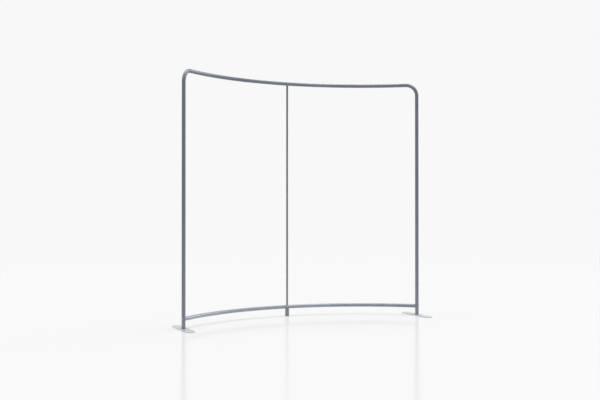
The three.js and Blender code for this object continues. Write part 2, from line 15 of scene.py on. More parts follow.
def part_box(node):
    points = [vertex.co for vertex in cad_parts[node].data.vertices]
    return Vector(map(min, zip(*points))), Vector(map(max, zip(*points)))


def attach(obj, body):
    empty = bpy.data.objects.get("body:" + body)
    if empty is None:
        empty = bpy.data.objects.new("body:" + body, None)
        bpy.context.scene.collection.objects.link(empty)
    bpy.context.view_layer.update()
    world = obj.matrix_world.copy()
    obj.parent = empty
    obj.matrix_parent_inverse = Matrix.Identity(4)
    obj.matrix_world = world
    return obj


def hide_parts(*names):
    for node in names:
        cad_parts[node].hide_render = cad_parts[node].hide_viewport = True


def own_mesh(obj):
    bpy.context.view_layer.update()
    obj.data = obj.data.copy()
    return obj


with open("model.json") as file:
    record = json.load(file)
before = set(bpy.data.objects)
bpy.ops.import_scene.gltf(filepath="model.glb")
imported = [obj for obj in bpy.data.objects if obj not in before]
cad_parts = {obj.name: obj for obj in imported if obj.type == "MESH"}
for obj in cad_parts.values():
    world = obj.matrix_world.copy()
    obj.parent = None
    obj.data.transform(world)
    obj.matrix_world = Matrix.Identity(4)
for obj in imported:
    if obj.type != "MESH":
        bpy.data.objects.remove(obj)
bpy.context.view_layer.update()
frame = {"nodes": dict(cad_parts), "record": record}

MM = 0.001
UP = Vector((0, 0, 1))
BACK = Vector((0, 1, 0))

# ---------------------------------------------------------------- camera

CAMERA_PLACE = Vector((-3.455, -7.4766, 1.087))
CAMERA_YAW = math.radians(24.68)  # turned to the right of +Y
CAMERA_PITCH = math.radians(0.354)
CAMERA_LENS, CAMERA_SENSOR = 52.12, 36  # in millimetres
CAMERA_REACH = 500


def make_camera():
    data = bpy.data.cameras.new("camera")
    data.lens = CAMERA_LENS
    data.sensor_width = CAMERA_SENSOR
    data.clip_end = CAMERA_REACH
    camera = bpy.data.objects.new("camera", data)
    camera.location = CAMERA_PLACE
    camera.rotation_euler = (math.pi / 2 + CAMERA_PITCH, 0, -CAMERA_YAW)
    bpy.context.scene.collection.objects.link(camera)
    bpy.context.scene.camera = camera


make_camera()

# ---------------------------------------------------------------- sizes

# Read from the frame.


def middle(node):
    low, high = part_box(node)
    return (low + high) / 2


def span(node):
    low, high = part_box(node)
    return high - low


def bottom(node):
    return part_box(node)[0].z


def top(node):
    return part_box(node)[1].z


UPRIGHT_X = middle("right_upright_lower_tube").x
UPRIGHT_Y = middle("right_upright_lower_tube").y
POLE_Y = middle("pole_lower_tube").y
TUBE = span("right_upright_lower_tube").x / 2
POLE = span("pole_upper_tube").x / 2
LEG = span("centre_leg_tube").x / 2
TOP_RAIL_Z = top("top_middle_tube") - TUBE
BOTTOM_RAIL_Z = middle("bottom_middle_tube").z
UPRIGHT_SEAM_Z = (top("left_upright_lower_tube") + bottom("left_upright_upper_tube")) / 2
CORNER_SEAM_Z = (top("left_upright_upper_tube") + bottom("left_corner_tube")) / 2

# As in the solids, where a box can't tell them.
ARC_RISE = 0.470
CORNER_RADIUS = 0.110
MIDDLE_TUBE_LENGTH = 0.880
SEAM_GAP = 0.3 * MM
FIT = 0.3 * MM  # room round every piece that fits into another
TUBE_WALL = 1.5 * MM
SLEEVE_WALL = 1.5 * MM
POLE_WALL = 1.2 * MM
LEG_WALL = 2.0 * MM
POLE_SHOULDER = 3.0 * MM  # cone between the pole and its neck
STUB_WEB = 12.0 * MM  # solid end of a rail stub
STUB_TAIL = 24.0 * MM  # from its button to its end
POLE_STUB_WEB = 8.0 * MM

BUTTON = 4.0 * MM
BUTTON_RIM = 1.5 * MM
BUTTON_RIM_THICK = 1.2 * MM
BUTTON_PROUD = 3.0 * MM
SPRING_THICK = 0.8 * MM
SPRING_WIDTH = 8.0 * MM
SPRING_LENGTH = 30.0 * MM  # from the button to the middle of the bend
SPRING_BEND = 2.5 * MM
SPRING_ROOM = 5.0 * MM

POLE_BUTTON = 3.0 * MM
POLE_BUTTON_RIM = 1.0 * MM
POLE_BUTTON_RIM_THICK = 0.8 * MM
POLE_BUTTON_PROUD = 2.4 * MM
POLE_SPRING_THICK = 0.6 * MM
POLE_SPRING_WIDTH = 5.0 * MM
POLE_SPRING_LENGTH = 24.0 * MM
POLE_SPRING_BEND = 1.8 * MM
POLE_SPRING_ROOM = 10.0 * MM

PLATE_SOFT = 0.8 * MM  # round of a plate's edges
PLATE_DARK_BAND = 1.5 * MM  # how far in from them the coat is rubbed and painted darker as shade

BASE_SCREW = 5.0 * MM
HEAD_EDGE = 0.6 * MM  # straight edge of a countersunk head
HEAD_BREAK = 0.2 * MM
SINK_WEB = 0.9 * MM  # plate left above the countersink
SOCKET = 3.0 * MM  # half its hexagon across the flats, and its depth
LEAD = 1.0 * MM  # at the tips of screws and plugs
SMALL_SCREW = 3.0 * MM
SMALL_HEAD = 5.25 * MM
SMALL_HEAD_THICK = 3.3 * MM
SMALL_HEAD_FLAT = 2.5 * MM  # radius of the flat round its socket
SMALL_HEAD_RIM = 0.7 * MM  # straight edge under the dome
SMALL_SOCKET = 2.0 * MM
SMALL_SOCKET_DEPTH = 1.8 * MM
RAIL_SCREW_BITE = 9.0 * MM
LEG_BOLT_SEAT = 16.0 * MM
CAP_THICK = 3.0 * MM
CAP_WALL = 2.5 * MM
CAP_ROUND = 1.2 * MM  # round of its lower rim
CAP_LEAD = 0.8 * MM
NOSE = 5.0 * MM  # spigot of a pole stub, through the wall of a rail
RIVET = 3.2 * MM  # head of a blind rivet
RIVET_PROUD = 1.1 * MM
RIVET_LIP = 0.25 * MM
RIVET_PIT = 1.1 * MM  # hole left by its mandrel
RIVET_DOME = ((0.92, 0.45), (0.72, 0.80))  # shares of its radius and of its height
RIVET_PIT_BREAK = 0.1 * MM
RIVET_PIT_LEFT = 0.3  # share of its height that is left under the pit
RIVETS_AT = (24.0 * MM, 58.0 * MM)  # from the seam, back along the tube that keeps the sleeve

ARC_RADIUS = (UPRIGHT_X**2 + ARC_RISE**2) / (2 * ARC_RISE)
ARC_HALF = ARC_RADIUS * math.asin(UPRIGHT_X / ARC_RADIUS)
RAIL_SEAM = MIDDLE_TUBE_LENGTH / 2
BEND_BOTTOM = TOP_RAIL_Z - CORNER_RADIUS
BORE = TUBE - TUBE_WALL
SLEEVE = BORE - FIT
SLEEVE_BORE = SLEEVE - SLEEVE_WALL
SLEEVE_HALF = span("left_upright_sleeve").z / 2
POLE_BORE = POLE - POLE_WALL
NECK = POLE_BORE - FIT
NECK_BORE = NECK - POLE_WALL
SEAT = TUBE + FIT
BUTTON_OFFSET = SPRING_LENGTH + SPRING_BEND + SPRING_ROOM
STUB_BUTTON_AT = SEAT + STUB_WEB + FIT + SPRING_BEND + SPRING_LENGTH
STUB_REACH = STUB_BUTTON_AT + STUB_TAIL
POLE_BUTTON_OFFSET = POLE_SPRING_LENGTH + POLE_SPRING_BEND + POLE_SPRING_ROOM
POLE_STUB_BUTTON_AT = SEAT + POLE_STUB_WEB + FIT + POLE_SPRING_BEND + POLE_SPRING_LENGTH

ROUND = 64  # sides of a smooth round
SMALL_ROUND = 32
DOME_STEPS = 8
BEND_STEPS = 10
POLE_STEP, STRAIGHT_STEP, CURVE_STEP = 0.08, 0.06, 0.02  # between stations along a tube
LEG_STEP, CORNER_STEP = 0.01, 0.005
HOLE_REACH, HOLE_STEP = 7 * MM, 1.4 * MM  # close stations round a hole
EDGE = 0.35 * MM  # broken edge of a cut tube end
CREASE, BLUNT, KEEN, FINE = 38, 50, 30, 25  # degrees between faces that stay sharp

# ---------------------------------------------------------------- materials


class Nodes:
    """Short names for the nodes of one material, or of the world."""

    def __init__(self, owner):
        owner.use_nodes = True
        self.owner = owner
        self.tree = owner.node_tree
        self.tree.nodes.clear()

    def add(self, kind, **settings):
        node = self.tree.nodes.new("ShaderNode" + kind)
        for key, value in settings.items():
            setattr(node, key, value)
        return node

    def link(self, source, target):
        self.tree.links.new(source, target)

    def noise(self, vector, scale, detail=3.0, roughness=0.5):
        node = self.add("TexNoise")
        node.inputs["Scale"].default_value = scale
        node.inputs["Detail"].default_value = detail
        node.inputs["Roughness"].default_value = roughness
        self.link(vector, node.inputs["Vector"])
        return node.outputs["Fac"]

    def stretched(self, vector, scale):
        node = self.add("Mapping")
        node.inputs["Scale"].default_value = scale
        self.link(vector, node.inputs["Vector"])
        return node.outputs["Vector"]

    def remap(self, value, low, high, to_low, to_high):
        node = self.add("MapRange")
        for key, number in zip(("From Min", "From Max", "To Min", "To Max"), (low, high, to_low, to_high)):
            node.inputs[key].default_value = number
        self.link(value, node.inputs["Value"])
        return node.outputs["Result"]

    def math(self, operation, first, second):
        node = self.add("Math", operation=operation)
        for socket, value in zip(node.inputs, (first, second)):
            if isinstance(value, (int, float)):
                socket.default_value = value
            else:
                self.link(value, socket)
        return node.outputs["Value"]

    def blend(self, factor, first, second):
        node = self.add("Mix", data_type="RGBA")
        self.link(factor, node.inputs["Factor"])
        for socket, value in ((node.inputs[6], first), (node.inputs[7], second)):
            if isinstance(value, tuple):
                socket.default_value = (*value, 1)
            else:
                self.link(value, socket)
        return node.outputs[2]

    def bump(self, height, strength, distance):
        node = self.add("Bump")
        node.inputs["Strength"].default_value = strength
        node.inputs["Distance"].default_value = distance
        self.link(height, node.inputs["Height"])
        return node.outputs["Normal"]

    def surface(self, color, roughness, normal, metallic, **numbers):
        shader = self.add("BsdfPrincipled")
        output = self.add("OutputMaterial")
        self.link(color, shader.inputs["Base Color"])
        self.link(roughness, shader.inputs["Roughness"])
        self.link(normal, shader.inputs["Normal"])
        shader.inputs["Metallic"].default_value = metallic
        for key, number in numbers.items():
            shader.inputs[key.replace("_", " ")].default_value = number
        self.link(shader.outputs[0], output.inputs["Surface"])
        return self.owner


RIM = (0.45, 0.45, 0.45, 1)  # keeps the rims of round metal from going pale
# Painted light: the lower upright tubes are painted lighter towards the floor, standing for light bounced off
# it.
PAINTED_BOUNCE_WIDE, PAINTED_BOUNCE_NEAR = (0.15, 1.1), (0.05, 0.11)  # heights that the two parts of the painted bounce light fade over
PAINTED_BOUNCE_SHARE = 0.35  # share of the wide part in the painted bounce light
PAINTED_BOUNCE_GAIN = 2  # how much lighter a full painted bounce light would make the metal


def drawn_metal(name, dark, light, bare, rough, metallic, painted_bounce=0.0):
    """Satin metal with fine lines along the piece, faint clouding, and bare metal where its edges are cut.

    The uv map runs round the piece and along it, in metres, and the attribute "edge" is 1 on a cut edge.
    The last argument says how much lighter the metal is painted towards the floor, as painted bounce light off
    the floor.
    """
    n = Nodes(bpy.data.materials.new(name))
    uv = n.add("UVMap").outputs["UV"]
    place = n.add("TexCoord").outputs["Object"]
    lines = n.noise(n.stretched(uv, (2600, 14, 1)), 1.0, 4.0, 0.6)
    cloud = n.noise(place, 9.0, 4.0, 0.55)
    smudge = n.noise(n.stretched(uv, (30, 7, 1)), 1.0, 3.0, 0.6)
    edge = n.add("Attribute", attribute_name="edge").outputs["Fac"]
    tint = n.math("ADD", n.math("MULTIPLY", lines, 0.45), n.math("MULTIPLY", cloud, 0.55))
    color = n.blend(n.remap(tint, 0.35, 0.65, 0, 1), dark, light)
    # Painted bounce light: the metal is painted lighter towards the floor, in a wide part and in a part close
    # to it.
    if painted_bounce:
        height = n.add("SeparateXYZ")
        n.link(place, height.inputs[0])
        wide = n.remap(height.outputs["Z"], *PAINTED_BOUNCE_WIDE, PAINTED_BOUNCE_SHARE, 0)
        near = n.remap(height.outputs["Z"], *PAINTED_BOUNCE_NEAR, 1 - PAINTED_BOUNCE_SHARE, 0)
        pale = n.math("MULTIPLY", n.math("ADD", wide, near), painted_bounce)
        color = n.blend(pale, color, tuple(PAINTED_BOUNCE_GAIN * c for c in light))
    color = n.blend(edge, color, bare)
    streaks = n.math("ADD", n.math("MULTIPLY", lines, 0.5), n.math("MULTIPLY", smudge, 0.5))
    roughness = n.remap(streaks, 0.3, 0.7, rough - 0.07, rough + 0.07)
    normal = n.bump(lines, 0.06, 0.02 * MM)
    return n.surface(color, roughness, normal, metallic, Specular_IOR_Level=0.35, Specular_Tint=RIM)


def coated_metal(name, dark, light, worn, rough, metallic):
    """Fine-grained powder coat, darkened in patches along its edges: rubbed down to darker steel, and on the
    sides of a plate also painted shade.
    """
    n = Nodes(bpy.data.materials.new(name))
    place = n.add("TexCoord").outputs["Object"]
    grain = n.noise(place, 1400.0, 2.0)
    cloud = n.noise(place, 14.0, 4.0, 0.6)
    edge = n.add("Attribute", attribute_name="edge").outputs["Fac"]
    # Darker patches wherever the edge attribute is set: wear along the edges, and on a plate's sides painted
    # shade as well.
    rub_and_shade = n.remap(n.noise(place, 160.0, 4.0, 0.7), 0.5, 0.66, 0, 0.7)
    tint = n.math("ADD", n.math("MULTIPLY", grain, 0.3), n.math("MULTIPLY", cloud, 0.7))
    color = n.blend(n.remap(tint, 0.35, 0.65, 0, 1), dark, light)
    color = n.blend(n.math("MULTIPLY", edge, rub_and_shade), color, worn)
    roughness = n.remap(cloud, 0.3, 0.7, rough - 0.05, rough + 0.06)
    normal = n.bump(grain, 0.25, 0.06 * MM)
    return n.surface(color, roughness, normal, metallic)


def plain_metal(name, dark, light, rough, scratch):
    """Plated or sprung steel with fine marks in every direction."""
    n = Nodes(bpy.data.materials.new(name))
    place = n.add("TexCoord").outputs["Object"]
    marks = n.noise(n.stretched(place, (2200, 2200, 500)), 1.0, 3.0, 0.7)
    cloud = n.noise(place, 260.0, 3.0, 0.6)
    color = n.blend(n.remap(cloud, 0.3, 0.7, 0, 1), dark, light)
    roughness = n.remap(marks, 0.3, 0.7, rough - 0.05, rough + scratch)
    normal = n.bump(marks, 0.15, 0.02 * MM)
    return n.surface(color, roughness, normal, 1.0)


def moulded(name, dark, light, rough):
    """Moulded plastic or rubber with an eroded, matte skin."""
    n = Nodes(bpy.data.materials.new(name))
    place = n.add("TexCoord").outputs["Object"]
    grain = n.noise(place, 1900.0, 2.0)
    cloud = n.noise(place, 60.0, 4.0, 0.6)
    color = n.blend(n.remap(cloud, 0.3, 0.7, 0, 1), dark, light)
    roughness = n.remap(grain, 0.3, 0.7, rough - 0.06, rough + 0.08)
    normal = n.bump(grain, 0.3, 0.05 * MM)
    return n.surface(color, roughness, normal, 0.0)


TUBE_DARK, TUBE_LIGHT = (0.167, 0.182, 0.215), (0.196, 0.213, 0.249)
SATIN = (0.38, 0.55)  # rough and metallic


def satin_tube(name, tone, painted_bounce=0.0):
    """The satin of one length of tube, painted a little lighter or darker than the next to stand for the light
    that falls on it, and painted lighter towards the floor as bounce light when asked.
    """
    dark, light = (tuple(c * tone for c in color) for color in (TUBE_DARK, TUBE_LIGHT))
    return drawn_metal(name, dark, light, (0.42, 0.43, 0.45), *SATIN, painted_bounce)


TUBE_FINISH = satin_tube("satin_aluminium", 1.0)
# Lower upright tubes, with painted bounce light that makes them lighter towards the floor.
LOWER_BOUNCE_FINISH = satin_tube("satin_lower_painted_bounce", 1.0, 0.25)
# Painted light: these lengths are painted lighter than the uprights, the bottom rail most at its left end, to
# stand for the light and highlight falling on them.
TOP_MIDDLE_LIT_FINISH = satin_tube("satin_top_middle_painted_light", 1.08)
BOTTOM_LIT_FINISHES = {
    "left": satin_tube("satin_bottom_left_painted_light", 1.43),
    "middle": satin_tube("satin_bottom_middle_painted_light", 1.30),
    "right": satin_tube("satin_bottom_right_painted_light", 1.17),
}
POLE_FINISH = drawn_metal(
    "satin_pole", (0.184, 0.197, 0.197), (0.213, 0.227, 0.228), (0.44, 0.45, 0.46), *SATIN
)
SLEEVE_FINISH = drawn_metal(
    "mill_aluminium", (0.52, 0.53, 0.54), (0.62, 0.63, 0.64), (0.72, 0.72, 0.73), 0.34, 1.0
)
# Its worn colour is partly wear and partly painted shade on the sides of the plates.
PLATE_FINISH = coated_metal(
    "silver_coat", (0.43, 0.44, 0.46), (0.50, 0.51, 0.53), (0.27, 0.28, 0.30), 0.42, 0.45
)
SCREW_FINISH = plain_metal("zinc_plate", (0.45, 0.46, 0.47), (0.56, 0.57, 0.57), 0.30, 0.12)
BUTTON_FINISH = plain_metal("nickel_plate", (0.60, 0.59, 0.57), (0.68, 0.67, 0.65), 0.18, 0.12)
SPRING_FINISH = plain_metal("spring_steel", (0.28, 0.28, 0.30), (0.38, 0.38, 0.40), 0.32, 0.12)
PLASTIC_FINISH = moulded("black_plastic", (0.018, 0.018, 0.02), (0.032, 0.032, 0.034), 0.55)
RUBBER_FINISH = moulded("black_rubber", (0.014, 0.014, 0.015), (0.026, 0.026, 0.027), 0.72)

FINISHES = {
    "tube": TUBE_FINISH,
    "sleeve": SLEEVE_FINISH,
    "plate": PLATE_FINISH,
    "screw": SCREW_FINISH,
    "button": BUTTON_FINISH,
    "spring": SPRING_FINISH,
    "plastic": PLASTIC_FINISH,
    "foot": RUBBER_FINISH,
}

# ---------------------------------------------------------------- meshes


def new_object(name, mesh):
    piece = bpy.data.objects.new(name, mesh)
    bpy.context.scene.collection.objects.link(piece)
    return piece


def ring_grid(name, rings, uvs, edges):
    """A closed skin through rings of points, the last ring joined to the first.

    uvs gives each ring its place along the piece and its radius, and edges says how worn each ring is.
    """
    mesh = bpy.data.meshes.new(name)
    sides = len(rings[0])
    points = [point for ring in rings for point in ring]
    count = len(rings)
    faces = []
    corners = []
    for i in range(count):
        for j in range(sides):
            after = (j + 1) % sides
            next_ring = (i + 1) % count
            faces.append((i * sides + j, next_ring * sides + j, next_ring * sides + after, i * sides + after))
            corners.append((i, i + 1, j))
    mesh.from_pydata(points, [], faces)
    layer = mesh.uv_layers.new(name="UVMap")
    for face, (i, i_next, j) in enumerate(corners):
        for corner, (ring, side) in enumerate(((i, j), (i_next, j), (i_next, j + 1), (i, j + 1))):
            along, radius = uvs[ring % count]
            layer.data[face * 4 + corner].uv = (2 * math.pi * radius * side / sides, along)
    attribute = mesh.attributes.new("edge", "FLOAT", "POINT")
    attribute.data.foreach_set("value", [edges[i] for i in range(count) for _ in range(sides)])
    return new_object(name, mesh)


def circle(point, across, other, radius, sides):
    turn = 2 * math.pi / sides
    return [
        point + across * (radius * math.cos(turn * k)) + other * (radius * math.sin(turn * k))
        for k in range(sides)
    ]


def lofted(name, rings, edges, place, capped=True):
    """A solid through rings of points, capped at both ends, or else with its ends joined.

    edges says how worn each ring is; on a coated plate the same value also lays painted shade.
    """
    bm = bmesh.new()
    edge_layer = bm.verts.layers.float.new("edge")
    made = []
    for ring, edge in zip(rings, edges):
        verts = [bm.verts.new(point) for point in ring]
        for vert in verts:
            vert[edge_layer] = edge
        made.append(verts)
    pairs = list(zip(made, made[1:]))
    if not capped:
        pairs.append((made[-1], made[0]))
    for lower, upper in pairs:
        for k in range(len(lower)):
            after = (k + 1) % len(lower)
            bm.faces.new((lower[k], lower[after], upper[after], upper[k]))
    if capped:
        bm.faces.new(list(reversed(made[0])))
        bm.faces.new(made[-1])
    bmesh.ops.recalc_face_normals(bm, faces=bm.faces)
    mesh = bpy.data.meshes.new(name)
    bm.to_mesh(mesh)
    bm.free()
    mesh.transform(place)
    return new_object(name, mesh)


def turned(name, profile, place, sides=SMALL_ROUND):
    """A piece turned about +Z from a closed list of (radius, height, edge) points.

    A first and last radius of zero close it on the axis.
    """
    on_axis = profile[0][0] == 0
    inner = profile[1:-1] if on_axis else profile
    rings = [circle(Vector((0, 0, z)), Vector((1, 0, 0)), BACK, r, sides) for r, z, _ in inner]
    return lofted(name, rings, [edge for _, _, edge in inner], place, capped=on_axis)


def swept(name, stations, frame_at, radius, bore):
    """A tube along a path, with a broken edge inside and out at both ends.

    frame_at gives a point on the path and the two directions across it.
    """
    first, last = stations[0], stations[-1]
    step = math.copysign(EDGE, last - first)
    outside = [first + step, *stations[1:-1], last - step]
    inside = list(reversed(outside))
    rings, uvs, edges = [], [], []

    def ring(q, r, edge):
        point, across, other = frame_at(q)
        rings.append(circle(point, across, other, r, ROUND))
        uvs.append((q, r))
        edges.append(edge)

    ring(first, bore + EDGE, 1)
    ring(first, radius - EDGE, 1)
    for q in outside:
        ring(q, radius, 0)
    ring(last, radius - EDGE, 1)
    ring(last, bore + EDGE, 1)
    for q in inside:
        ring(q, bore, 0)
    return ring_grid(name, rings, uvs, edges)


def cutter(radius, place, low, high, sides=SMALL_ROUND):
    """A round bar to cut with, along the place's +Z."""
    rings = [(0, low, 0), (radius, low, 0), (radius, high, 0), (0, high, 0)]
    return turned("cutter", rings, place, sides)


def cut(piece, cutters):
    for tool in cutters:
        modifier = piece.modifiers.new("cut", "BOOLEAN")
        modifier.object = tool
        modifier.solver = "EXACT"
    bpy.context.view_layer.update()
    mesh = bpy.data.meshes.new_from_object(piece.evaluated_get(bpy.context.evaluated_depsgraph_get()))
    piece.modifiers.clear()
    piece.data = mesh
    for tool in cutters:
        bpy.data.objects.remove(tool)


def settle(piece, kind, body, nodes=(), sharp=CREASE, finish=None):
    """Gives a finished piece its shading, finish, body and the solids that it stands for."""
    mesh = piece.data
    bm = bmesh.new()
    bm.from_mesh(mesh)
    bmesh.ops.recalc_face_normals(bm, faces=bm.faces)
    bm.to_mesh(mesh)
    bm.free()
    mesh.shade_smooth()
    mesh.set_sharp_from_angle(angle=math.radians(sharp))
    mesh.materials.clear()
    mesh.materials.append(finish or FINISHES[kind])
    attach(piece, body)
    if nodes:
        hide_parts(*nodes)


# ---------------------------------------------------------------- paths


def wall_point(along, height):
    """A point on the wall, at a distance along its curve from the middle."""
    angle = along / ARC_RADIUS
    y = UPRIGHT_Y + ARC_RISE - ARC_RADIUS * (1 - math.cos(angle))
    return Vector((ARC_RADIUS * math.sin(angle), y, height))


def wall_out(along):
    """Straight out of the back of the wall."""
    angle = along / ARC_RADIUS
    return Vector((math.sin(angle), math.cos(angle), 0))


def wall_side(along):
    """Along the wall towards +X, level."""
    angle = along / ARC_RADIUS
    return Vector((math.cos(angle), -math.sin(angle), 0))


def rail_path(height):
    return lambda along: (wall_point(along, height), wall_out(along), UP)


def upright_path(side):
    return lambda z: (Vector((side * UPRIGHT_X, UPRIGHT_Y, z)), BACK, Vector((1, 0, 0)))


def pole_path(z):
    return Vector((0, POLE_Y, z)), BACK, Vector((1, 0, 0))


BEND_LENGTH = CORNER_RADIUS * math.pi / 2
CORNER_END = BEND_BOTTOM + BEND_LENGTH + ARC_HALF - CORNER_RADIUS - RAIL_SEAM - SEAM_GAP / 2


def corner_path(side):
    """Up the upright, round the bend and along the rail, by the distance travelled from the floor."""

    def at(q):
        if q <= BEND_BOTTOM:
            along = side * ARC_HALF
            return Vector((side * UPRIGHT_X, UPRIGHT_Y, q)), wall_out(along), wall_side(along)
        if q >= BEND_BOTTOM + BEND_LENGTH:
            along = side * (ARC_HALF - CORNER_RADIUS - (q - BEND_BOTTOM - BEND_LENGTH))
            return wall_point(along, TOP_RAIL_Z), wall_out(along), side * UP
        angle = (q - BEND_BOTTOM) / CORNER_RADIUS
        along = side * (ARC_HALF - CORNER_RADIUS * (1 - math.cos(angle)))
        point = wall_point(along, BEND_BOTTOM + CORNER_RADIUS * math.sin(angle))
        other = wall_side(along) * math.cos(angle) + side * UP * math.sin(angle)
        return point, wall_out(along), other

    return at


def spread(first, last, step):
    count = max(1, round(abs(last - first) / step))
    return [first + (last - first) * i / count for i in range(count + 1)]


def with_fine(stations, *places):
    """Adds close stations round each place where a hole is cut, and keeps the order."""
    rising = stations[0] < stations[-1]
    kept = [q for q in stations if all(abs(q - place) > HOLE_REACH for place in places)]
    fine = [q for place in places for q in spread(place - HOLE_REACH, place + HOLE_REACH, HOLE_STEP)]
    return sorted(kept + fine, reverse=not rising)


def seat(point, along, outward):
    """+Z out of the tube at a button, and +X along its spring."""
    x = along.normalized()
    z = (outward - x * outward.dot(x)).normalized()
    y = z.cross(x)
    matrix = Matrix((x, y, z)).transposed().to_4x4()
    matrix.translation = point
    return matrix


# ---------------------------------------------------------------- sprung buttons


class Snap:
    """The sizes of one kind of sprung button, measured out from the axis of its tube."""

    def __init__(self, radius, rim, rim_thick, proud, tube, carrier, bore, thick, width, length, bend):
        self.radius, self.rim = radius, radius + rim
        self.rim_top = math.sqrt(bore**2 - self.rim**2) - FIT
        self.rim_bottom = self.rim_top - rim_thick
        self.tube, self.top = tube, tube + proud
        self.travel = tube + proud - carrier + FIT
        self.near = self.rim_bottom - FIT
        self.far = FIT - math.sqrt(bore**2 - (width / 2) ** 2)
        self.thick, self.width, self.length, self.bend = thick, width, length, bend


MAIN_SNAP = Snap(
    BUTTON, BUTTON_RIM, BUTTON_RIM_THICK, BUTTON_PROUD, TUBE, SLEEVE, SLEEVE_BORE,
    SPRING_THICK, SPRING_WIDTH, SPRING_LENGTH, SPRING_BEND,
)
POLE_SNAP = Snap(
    POLE_BUTTON, POLE_BUTTON_RIM, POLE_BUTTON_RIM_THICK, POLE_BUTTON_PROUD, POLE, NECK, NECK_BORE,
    POLE_SPRING_THICK, POLE_SPRING_WIDTH, POLE_SPRING_LENGTH, POLE_SPRING_BEND,
)


def button_hole(snap, place):
    return cutter(snap.radius + FIT, place, snap.rim_top - FIT, snap.top)


def make_button(name, snap, place):
    """A domed button with a rim that stops inside the sleeve."""
    dome_bottom = snap.tube + FIT
    rise = snap.top - dome_bottom
    dome = []
    for i in range(1, DOME_STEPS):
        angle = math.pi / 2 * i / DOME_STEPS
        dome.append((snap.radius * math.cos(angle), dome_bottom + rise * math.sin(angle), 0))
    profile = [
        (0, snap.rim_bottom, 0),
        (snap.rim, snap.rim_bottom, 0),
        (snap.rim, snap.rim_top, 0),
        (snap.radius, snap.rim_top, 0),
        (snap.radius, dome_bottom, 0),
        *dome,
        (0, snap.top, 0),
    ]
    piece = turned(name + "_button_smooth", profile, place)
    settle(piece, "button", name + "_button", [name + "_button"], sharp=BLUNT)


def make_spring(name, snap, place):
    """A leaf bent to a V on its side, which closes as its button goes in."""
    mid = (snap.near + snap.far) / 2
    lean = math.pi / 2 - math.atan2((snap.near - snap.far) / 2 - snap.bend, snap.length - snap.rim)
    turn = [lean - 2 * lean * i / BEND_STEPS for i in range(BEND_STEPS + 1)]
    outer = [(-snap.rim, snap.near), (snap.rim, snap.near)]
    outer += [(snap.length + snap.bend * math.cos(a), mid + snap.bend * math.sin(a)) for a in turn]
    outer += [(snap.rim, snap.far), (-snap.rim, snap.far)]
    inside = snap.bend - snap.thick
    inner = [(-snap.rim, snap.near - snap.thick), (snap.rim, snap.near - snap.thick)]
    inner += [(snap.length + inside * math.cos(a), mid + inside * math.sin(a)) for a in turn]
    inner += [(snap.rim, snap.far + snap.thick), (-snap.rim, snap.far + snap.thick)]
    half = snap.width / 2
    rings = [
        [(ox, -half, oz), (ox, half, oz), (ix, half, iz), (ix, -half, iz)]
        for (ox, oz), (ix, iz) in zip(outer, inner)
    ]
    piece = lofted(name + "_spring_leaf", rings, [0] * len(rings), place)
    settle(piece, "spring", "frame", [name + "_spring"], sharp=KEEN)
    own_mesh(piece)


def make_snap(name, snap, place):
    make_button(name, snap, place)
    make_spring(name, snap, place)


# ---------------------------------------------------------------- joints along the tubes


def stretch_seat(side, first, last, distance, height):
    """A seat on a straight stretch between two places on a rail, its spring pointing back to the first."""
    start = wall_point(side * first, height)
    along = (wall_point(side * last, height) - start).normalized()
    return seat(start + along * distance, -along, wall_out(side * (first + last) / 2))


def upright_seat(side, seam):
    return seat(Vector((side * UPRIGHT_X, UPRIGHT_Y, seam + BUTTON_OFFSET)), -UP, BACK)


def rail_seat(side, height):
    return stretch_seat(side, RAIL_SEAM, RAIL_SEAM + SLEEVE_HALF, BUTTON_OFFSET, height)


def stub_seat(side):
    return stretch_seat(side, ARC_HALF, ARC_HALF - STUB_REACH, STUB_BUTTON_AT, BOTTOM_RAIL_Z)


def inward_place(side):
    """On an upright's axis at the bottom rail, with +Z into the rail's end."""
    start = wall_point(side * ARC_HALF, BOTTOM_RAIL_Z)
    along = (wall_point(side * (ARC_HALF - STUB_REACH), BOTTOM_RAIL_Z) - start).normalized()
    outward = wall_out(side * (ARC_HALF - STUB_REACH / 2))
    matrix = Matrix((outward, along.cross(outward), along)).transposed().to_4x4()
    matrix.translation = start
    return matrix


POLE_SEAM_Z = bottom("pole_upper_tube") - SEAM_GAP
POLE_NECK_SEAT = seat(Vector((0, POLE_Y, POLE_SEAM_Z + POLE_BUTTON_OFFSET)), -UP, BACK)
POLE_TOP_SEAT = seat(Vector((0, POLE_Y, TOP_RAIL_Z - POLE_STUB_BUTTON_AT)), UP, BACK)


def upright_axis(side):
    return Matrix.Translation(Vector((side * UPRIGHT_X, UPRIGHT_Y, 0)))


def make_uprights(name, side):
    path = upright_path(side)
    low = f"{name}_upright_lower_tube"
    stations = with_fine(spread(bottom(low), top(low), STRAIGHT_STEP), BOTTOM_RAIL_Z)
    piece = swept(low + "_smooth", stations, path, TUBE, BORE)
    cut(piece, [cutter(SMALL_SCREW + FIT, inward_place(side), -2 * TUBE, 2 * TUBE)])
    settle(piece, "tube", "frame", [low], finish=LOWER_BOUNCE_FINISH)

    high = f"{name}_upright_upper_tube"
    stations = with_fine(spread(bottom(high), top(high), STRAIGHT_STEP), UPRIGHT_SEAM_Z + BUTTON_OFFSET)
    piece = swept(high + "_smooth", stations, path, TUBE, BORE)
    cut(piece, [button_hole(MAIN_SNAP, upright_seat(side, UPRIGHT_SEAM_Z))])
    settle(piece, "tube", "frame", [high])


